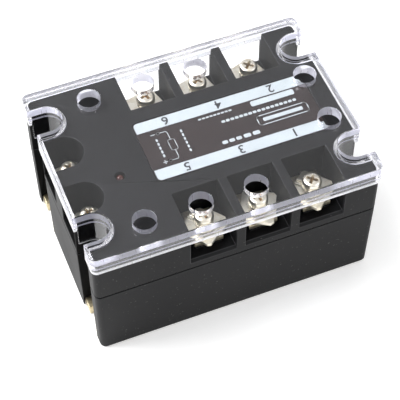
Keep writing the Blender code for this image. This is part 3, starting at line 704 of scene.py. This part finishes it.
def make_case():
    for node, name, edge in (
        ("upper_housing", "case_upper_half", UPPER_EDGE),
        ("lower_housing", "case_lower_half", LOWER_EDGE),
    ):
        plain = copy_of(node)
        plain.materials.clear()
        for finish in CASE_FINISHES:
            plain.materials.append(finish)
        edge_slot = CASE_FINISHES.index(CASE_EDGE)
        shell = case_faces(rounded(plain, edge, edge_slot=edge_slot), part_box(node)[1])
        finished(name, shell, node, CASE_FINISHES)
    plate = rounded(copy_of("base_plate"), PLATE_EDGE)
    finished("base_plate_metal", plate, "base_plate", [BASE])


def case_faces(mesh, corner):
    """Marks the faces that lie in from the case's sides and below its deck, for the darker finish that
    paints shade there.
    """
    for face in mesh.polygons:
        x, y, z = face.center
        inside = abs(x) < corner.x - SHADE_INSET and abs(y) < corner.y - SHADE_INSET
        plain = face.material_index == CASE_FINISHES.index(CASE)
        # These faces get the darker finish, as painted shade
        if plain and inside and z < corner.z - SHADE_BELOW_DECK:
            face.material_index = CASE_FINISHES.index(CASE_RECESS_SHADE)
    return mesh


def notched_outline(inset, wall):
    """The cover's outline with its four U-shaped notches, drawn in from its edge."""
    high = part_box("clear_cover")[1]
    half_x, half_y = high.x - inset, high.y - inset
    corner, notch = COVER_CORNER - inset / 2, NOTCH_HALF + wall
    end = arc((half_x - corner, corner - half_y), corner, -90, 0, CORNER_STEPS)
    for y in (-NOTCH_Y, NOTCH_Y):
        end.append((half_x, y - notch))
        end += arc((NOTCH_END_X + NOTCH_HALF, y), notch, 270, 90, NOTCH_STEPS)
        end.append((half_x, y + notch))
    end += arc((half_x - corner, half_y - corner), corner, 0, 90, CORNER_STEPS)
    return end + [(-x, -y) for x, y in end]


def notch_skirt(side_x, side_y):
    """The wall that hangs from a notch's edge into the case."""
    low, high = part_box("clear_cover")
    centre = (NOTCH_END_X + NOTCH_HALF, 0)
    outer, end = NOTCH_HALF + SKIRT_WALL, high.x - COVER_WALL
    outline = [(end, outer)] + arc(centre, outer, 90, 270, NOTCH_STEPS) + [(end, -outer)]
    outline += [(end, -NOTCH_HALF)] + arc(centre, NOTCH_HALF, 270, 90, NOTCH_STEPS)
    outline += [(end, NOTCH_HALF)]
    points = [(side_x * x, side_y * NOTCH_Y + y) for x, y in outline]
    return prism(points, low.z, high.z - COVER_PLATE / 2)


def driver_holes():
    """The holes over the screws, as (x, y) centres."""
    nodes = [f"power_screw_{key}" for key in POWER_KEYS] + ["control_screw_1", "control_screw_2"]
    boxes = [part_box(node) for node in nodes]
    return [(-(low.x + high.x) / 2, (low.y + high.y) / 2) for low, high in boxes]


def make_cover():
    low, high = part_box("clear_cover")
    shell = prism(notched_outline(0, 0), high.z - COVER_RIM, high.z)
    hollow = prism(notched_outline(COVER_WALL, SKIRT_WALL), low.z, high.z - COVER_PLATE)
    shell = cut(shell, hollow)
    for side_x in (-1, 1):
        for side_y in (-1, 1):
            shell = joined(shell, notch_skirt(side_x, side_y))
    past = high.z + COVER_PLATE
    holes = [prism(circle(at, COVER_HOLE_RADIUS), low.z, past) for at in driver_holes()]
    shell = rounded(frosted_faces(cut(shell, together(holes)), high), COVER_EDGE, 3)
    finished("cover_moulding", shell, "clear_cover", COVER_FINISHES)


def frosted_faces(mesh, corner):
    """Marks the matt faces: hole walls, bands round the sides and notches, and the foot of the rim."""
    top = corner.z
    levels = [top - depth for band in COVER_BANDS for depth in band] + [top - COVER_FOOT]
    shape = bmesh.new()
    shape.from_mesh(mesh)
    for level in levels:
        everything = shape.verts[:] + shape.edges[:] + shape.faces[:]
        place = {"plane_co": (0, 0, level), "plane_no": (0, 0, 1)}
        bmesh.ops.bisect_plane(shape, geom=everything, dist=1e-7, **place)
    holes = [Vector(at) for at in driver_holes()]
    for face in shape.faces:
        centre = face.calc_center_median()
        depth = top - centre.z
        upright = abs(face.normal.z) < 0.3
        in_hole = min((centre.xy - at).length for at in holes) < COVER_HOLE_RADIUS + CLOSE
        on_side, on_notch = outer_sides(centre, corner)
        in_band = any(start < depth < end for start, end in COVER_BANDS)
        under = face.normal.z < -0.9 and depth > COVER_RIM - CLOSE
        if upright and in_hole:
            face.material_index = COVER_FINISHES.index(HOLE_WALL)
        elif upright and (on_side or on_notch) and in_band:
            face.material_index = COVER_FINISHES.index(CUT_EDGE)
        elif under or (upright and on_side and depth > COVER_FOOT):
            face.material_index = COVER_FINISHES.index(FOOT)
    made = bpy.data.meshes.new("work")
    shape.to_mesh(made)
    shape.free()
    for finish in COVER_FINISHES:
        made.materials.append(finish)
    return made


def outer_sides(point, corner):
    """Whether a point of the cover lies on its outer sides, and whether on the wall of a notch."""
    x, y = abs(point.x), abs(point.y)
    side = x > corner.x - SIDE_REACH or y > corner.y - SIDE_REACH
    from_notch = math.hypot(min(x - NOTCH_END_X - NOTCH_HALF, 0), y - NOTCH_Y)
    return side, x > NOTCH_END_X - CLOSE and from_notch < NOTCH_HALF + CLOSE


# ---- Terminals


def four_turns(quarter):
    """An outline made of the same points at each quarter turn."""
    outline = []
    for c, s in ((1, 0), (0, 1), (-1, 0), (0, -1)):
        outline += [(x * c - y * s, x * s + y * c) for x, y in quarter]
    return outline


def cross_outline(arm, half):
    return four_turns([(arm, -half), (arm, half), (half, half)])


def screw_blank(sizes):
    """A pan-head screw with a tapered cross recess and a rolled thread, its origin under the head."""
    head, tall, shank, length = (sizes[key] for key in ("head", "tall", "shank", "long"))
    core = shank - THREAD_DEPTH
    profile = [(0, -length), (core - SHANK_TIP, -length), (core, SHANK_TIP - length), (core, 0)]
    profile += [(head * HEAD_UNDERSIDE, 0)] + [(head * x, tall * z) for x, z in HEAD_PROFILE]
    blank = turned(profile + [(0, tall)])
    mouth = cross_outline(head * RECESS_MOUTH[0], RECESS_MOUTH[1])
    floor = cross_outline(head * RECESS_FLOOR[0], RECESS_FLOOR[1])
    blank = cut(blank, stack([(floor, tall - RECESS_DEPTH), (mouth, tall + CLOSE)]))
    # The points deep in the recess get the brown painted shade
    reach, below = RECESS_SHADE_REACH
    marks = blank.attributes.new("recess_shade", "FLOAT", "POINT")
    for vertex, mark in zip(blank.vertices, marks.data):
        inside = vertex.co.xy.length < head * reach
        mark.value = 1.0 if inside and CLOSE < vertex.co.z < tall - below else 0.0
    blank = rounded(blank, 0.00006, 2, 40)
    threaded = length - THREAD_RUN_OUT
    return THREAD.applied(
        blank, SCREW, Turns=threaded / sizes["pitch"], Radius=core, Length=threaded,
        Ridge=THREAD_RIDGE, Bottom=THREAD_START - length,
    )


def spring_washer(sizes):
    """A split ring whose ends stand slightly apart, its origin on its axis at its underside."""
    low, high = sizes["hole"], sizes["head"] - WASHER_PLAY
    thick = sizes["plate"] - WASHER_PLAY
    shape = bmesh.new()
    rings = []
    for step in range(WASHER_STEPS + 1):
        share = step / WASHER_STEPS
        angle = math.radians(WASHER_SPLIT + (360 - 2 * WASHER_SPLIT) * share)
        rise = WASHER_RISE * share
        c, s = math.cos(angle), math.sin(angle)
        section = [(low, rise), (high, rise), (high, rise + thick), (low, rise + thick)]
        rings.append([shape.verts.new((r * c, r * s, z)) for r, z in section])
    for here, there in zip(rings, rings[1:]):
        for side in range(4):
            after = (side + 1) % 4
            shape.faces.new((here[side], here[after], there[after], there[side]))
    shape.faces.new(rings[0])
    shape.faces.new(rings[-1])
    return rounded(mesh_of(shape), 0.00012, 2, 40)


def clamp_plate(sizes):
    """A square washer with clipped corners and two short ribs at the middle of one edge."""
    half, plate, hole = sizes["half"], sizes["plate"], sizes["hole"]
    clip = math.sqrt(sizes["reach"] ** 2 - half**2)
    corners = four_turns([(half, -clip), (half, clip)])
    body = cut(prism(corners, 0, plate), prism(circle((0, 0), hole), -plate, 2 * plate))
    across, along = (-RIB_WIDTH / 2, RIB_WIDTH / 2), (half - sizes["rib"], half)
    rib = block(across, along, (plate / 2, plate + sizes["rise"]))
    start, step = (-RIB_SPREAD, 0.0, 0.0), (2 * RIB_SPREAD, 0.0, 0.0)
    ribs = ROW.applied(rib, CLAMP, Count=2, Start=start, Step=step)
    return rounded(joined(body, ribs), 0.0001, 2, 30)


def axis_of(node):
    """The axis and the lowest point of a screw, washer or clamp."""
    low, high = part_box(node)
    return (low.x + high.x) / 2, (low.y + high.y) / 2, low.z


def make_terminal(kind, key, sizes, parts, turns):
    """The bar, clamp, washer and screw of one terminal."""
    screw, washer, clamp = parts
    x, y, tip = axis_of(f"{kind}_screw_{key}")
    places = {
        "clamp": (clamp, axis_of(f"{kind}_clamp_{key}")[2], CLAMP, "clamp_nickel"),
        "washer": (washer, axis_of(f"{kind}_washer_{key}")[2], WASHER_SHADED, "washer_steel"),
        "screw": (screw, tip + sizes["long"], SCREW, "screw_nickel"),
    }
    for part, (mesh, z, finish, slot) in places.items():
        node = f"{kind}_{part}_{key}"
        finished(f"{node}_detail", placed(mesh, x, y, z, turns[part]), node, [finish])
    node = f"{kind}_bar_{key}"
    finished(f"{node}_detail", rounded(copy_of(node), BAR_EDGE), node, [BAR])


def blanks(sizes):
    return screw_blank(sizes), spring_washer(sizes), clamp_plate(sizes)


def make_terminals():
    parts = blanks(POWER_SIZES)
    for key in POWER_KEYS:
        clamp = CLAMP_TURNS[key]
        turns = {"clamp": clamp, "washer": clamp + WASHER_LEAD, "screw": SCREW_TURNS[key]}
        make_terminal("power", key, POWER_SIZES, parts, turns)
    parts = blanks(CONTROL_SIZES)
    for key, screw in CONTROL_SCREW_TURNS.items():
        turns = {"clamp": CONTROL_CLAMP_TURN, "washer": CONTROL_WASHER_TURN, "screw": screw}
        make_terminal("control", key, CONTROL_SIZES, parts, turns)


# ---- Label and indicator


def digit(character, x, y, z, size):
    """One digit as a thin solid, its top towards -Y."""
    text = bpy.data.curves.new("digit", "FONT")
    text.body = character
    text.size = size
    text.extrude = MARK_HEIGHT / 2
    text.offset = size * DIGIT_WEIGHT
    mesh = settled(working(text))
    xs, ys = [v.co.x for v in mesh.vertices], [v.co.y for v in mesh.vertices]
    mesh.transform(Matrix.Translation((-(min(xs) + max(xs)) / 2, -(min(ys) + max(ys)) / 2, 0)))
    return placed(mesh, x, y, z + MARK_HEIGHT / 2, 180)


def stroke(points, width, z):
    """A line of thin square-ended bars through points."""
    bars = []
    for (x1, y1), (x2, y2) in zip(points, points[1:]):
        length = math.hypot(x2 - x1, y2 - y1) / 2 + width / 2
        bar = block((-length, length), (-width / 2, width / 2), (0, MARK_HEIGHT))
        turn = math.degrees(math.atan2(y2 - y1, x2 - x1))
        bars.append(placed(bar, (x1 + x2) / 2, (y1 + y2) / 2, z, turn))
    return bars


def loop(outline, width, z):
    return stroke(outline + outline[:1], width, z)


def bar_outline(centre_x, edge_y, side, half_x):
    """A bar along one long edge of the label, round at its outer corners as the label is."""
    radius = LABEL_CORNER - LABEL_INSET
    inner = edge_y - side * LABEL_BAR
    points = [(centre_x - half_x, inner), (centre_x + half_x, inner)]
    for end, start, stop in ((1, 0, 90), (-1, 90, 180)):
        corner = (centre_x + end * (half_x - radius), edge_y - side * radius)
        points += [(x, y) for x, y in arc(corner, radius, side * start, side * stop, 8)]
    return points if side > 0 else list(reversed(points))


def make_label():
    low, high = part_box("rating_label")
    x, z = (low.x + high.x) / 2, high.z
    half_x, half_y = (high.x - low.x) / 2, (high.y - low.y) / 2
    film = prism(rounded_rectangle((x, 0), half_x, half_y, LABEL_CORNER), low.z, high.z)
    finished("rating_label_film", rounded(film, 0.00005), "rating_label", [FILM])
    bars = []
    for side in (-1, 1):
        outline = bar_outline(x, side * (half_y - LABEL_INSET), side, half_x - LABEL_INSET)
        bars.append(prism(outline, z, z + MARK_HEIGHT))
    finished("label_edge_bars", together(bars), "rating_label", [WHITE_INK], False)
    digits = []
    for number, node in enumerate(("n3", "f3", "n2", "f2", "n1", "f1"), 1):
        centre = axis_of(f"power_screw_{node}")[0]
        side = 1 if node[0] == "f" else -1
        y = side * (half_y - LABEL_INSET - LABEL_BAR / 2)
        digits.append(digit(str(number), centre + DIGIT_SHIFT, y, z + MARK_HEIGHT, DIGIT_SIZE))
    finished("label_digits", together(digits), "rating_label", [BLACK_INK], False)
    marks = label_marks(x, half_x, half_y - LABEL_BAR, z)
    finished("label_marks", together(marks), "rating_label", [WHITE_INK], False)


def label_marks(x, half_x, room, z):
    """Blank fields and rows of dashes in place of printed words, and the control input's small circuit."""
    marks = []
    for centre, y, long, wide in ((0.58, 0.76, 0.0165, 0.0024), (0.60, -0.16, 0.0150, 0.0016)):
        at = (x + centre * half_x, y * room)
        marks.append(field(at, long, wide, 0.25, 4, z))
    for start, y, count, dash, wide in (
        (-0.28, 0.78, 9, 0.0011, 0.0007),
        (-0.05, 0.34, 17, 0.0013, 0.0011),
        (-0.14, -0.66, 3, 0.0020, 0.0014),
        (0.12, -0.66, 2, 0.0026, 0.0016),
    ):
        tick = field((0, 0), dash, wide, 0.3, 3, 0)
        place, step = (x + start * half_x, y * room, z), (dash * 1.3, 0.0, 0.0)
        marks.append(ROW.applied(tick, WHITE_INK, Count=count, Start=place, Step=step))
    outline = rounded_rectangle((x + 0.60 * half_x, -0.16 * room), 0.0095, 0.0021, 0.0010, 5)
    marks += loop(outline, FRAME_LINE, z)
    for column, count in ((0.0058, 5), (0.0152, 6)):
        tick = prism(rounded_rectangle((0, 0), 0.00035, 0.0006, 0.0002, 3), 0, MARK_HEIGHT)
        place, step = (x - half_x + column, -0.0009 * (count - 1), z), (0.0, 0.0018, 0.0)
        marks.append(ROW.applied(tick, WHITE_INK, Count=count, Start=place, Step=step))
    return marks + control_symbol(x - half_x + 0.0104, room * 0.72, z)


def field(centre, long, wide, roundness, steps, z):
    """A filled box with round corners, their radius a share of its width."""
    outline = rounded_rectangle(centre, long / 2, wide / 2, wide * roundness, steps)
    return prism(outline, z, z + MARK_HEIGHT)


def control_symbol(x, reach, z):
    """Two terminals joined through a small box, with a plus sign and a minus sign beside them."""
    half_x, half_y, corner = 0.0012, 0.0024, 0.0007
    marks = loop(rounded_rectangle((x, 0), half_x, half_y, corner, 4), SYMBOL_LINE, z)
    for side in (-1, 1):
        end_x, end_y = x - 0.0032, side * reach
        marks += loop(circle((end_x, end_y), 0.00055, 24), SYMBOL_LINE * 0.9, z)
        wire = [(end_x + 0.0006, end_y), (x - 0.0004, end_y)]
        wire += [(x, side * (reach - 0.0008)), (x, side * half_y)]
        marks += stroke(wire, SYMBOL_LINE, z)
        marks += stroke([(end_x - 0.0026, end_y), (end_x - 0.0012, end_y)], SYMBOL_LINE, z)
    plus_x, plus_y, arm = x - 0.0051, -reach, 0.0007
    return marks + stroke([(plus_x, plus_y - arm), (plus_x, plus_y + arm)], SYMBOL_LINE, z)


def make_led():
    low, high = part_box("status_led")
    x, y, radius = (low.x + high.x) / 2, (low.y + high.y) / 2, (high.x - low.x) / 2
    angles = [math.pi / 2 * step / LENS_STEPS for step in range(LENS_STEPS)]
    centre = high.z - radius
    dome = [(radius * math.cos(a), centre + radius * math.sin(a)) for a in angles]
    base = low.z + LENS_RISE
    lens = turned([(0, base), (radius, base)] + dome + [(0, high.z)], 32)
    across = (-LEAD_HALF, LEAD_HALF)
    lead = block(across, across, (low.z, base + LEAD_OVERLAP))
    start, step = (-radius / 2, 0.0, 0.0), (radius, 0.0, 0.0)
    leads = ROW.applied(lead, INNER_SCREW, Count=2, Start=start, Step=step)
    whole = placed(smooth(together([lens, leads])), x, y, 0)
    finished("indicator_lens", whole, "status_led", [led_epoxy()])


# ---- Inside the case


def paint_inner_nodes():
    """Gives the parts inside the case their own finishes, on the CAD nodes themselves."""
    black = mottled("component_black", (0.016, 0.016, 0.017), (0.03, 0.03, 0.032), 0.42, 0.0015)
    ceramic = mottled("ceramic", (0.80, 0.79, 0.75), (0.70, 0.69, 0.65), 0.55, 0.002)
    silicon = mottled("silicon", (0.22, 0.23, 0.27), (0.32, 0.33, 0.36), 0.28, 0.003, 0.7)
    resin = mottled("potting_resin", (0.022, 0.022, 0.026), (0.045, 0.045, 0.05), 0.3, 0.008)
    finishes = {
        "base_screw": INNER_SCREW,
        "board_screw": INNER_SCREW,
        "control_board": circuit_board(),
        "optocoupler": black,
        "substrate": ceramic,
        "thyristor": silicon,
        "potting_resin": resin,
    }
    for node, obj in frame["nodes"].items():
        for start, finish in finishes.items():
            if node.startswith(start):
                obj.data.materials.clear()
                obj.data.materials.append(finish)


# ---- Studio


def make_studio():
    half = FLOOR_HALF
    corners = [(-half, -half), (half, -half), (half, half), (-half, half)]
    floor = working(prism(corners, -0.02, 0.0))
    floor.name = "floor"
    floor.data.materials.append(floor_paper())
    world = bpy.data.worlds.new("studio")
    bpy.context.scene.world = world
    world.use_nodes = True
    sky = world.node_tree.nodes["Background"]
    sky.inputs["Color"].default_value = (1.0, 1.0, 1.0, 1.0)
    sky.inputs["Strength"].default_value = WORLD_STRENGTH
    for name, place, power in LAMPS:
        light = bpy.data.lights.new(name, "AREA")
        light.size = LAMP_SIZE
        light.energy = power
        lamp = bpy.data.objects.new(name, light)
        lamp.location = place
        lamp.rotation_euler = Vector(place).to_track_quat("Z", "Y").to_euler()
        bpy.context.scene.collection.objects.link(lamp)
    bpy.context.scene.view_settings.view_transform = "Standard"


def make_camera():
    camera = bpy.data.cameras.new("camera")
    camera.sensor_width = CAMERA_SENSOR
    camera.lens = CAMERA_LENS
    camera.shift_x, camera.shift_y = CAMERA_SHIFT
    camera.clip_start = 0.01
    camera.clip_end = 10.0
    made = bpy.data.objects.new("camera", camera)
    made.location = CAMERA_PLACE
    made.rotation_euler = Euler([math.radians(angle) for angle in CAMERA_TURN], "XYZ")
    bpy.context.scene.collection.objects.link(made)
    bpy.context.scene.camera = made


make_case()
make_cover()
make_terminals()
make_label()
make_led()
paint_inner_nodes()
make_studio()
make_camera()
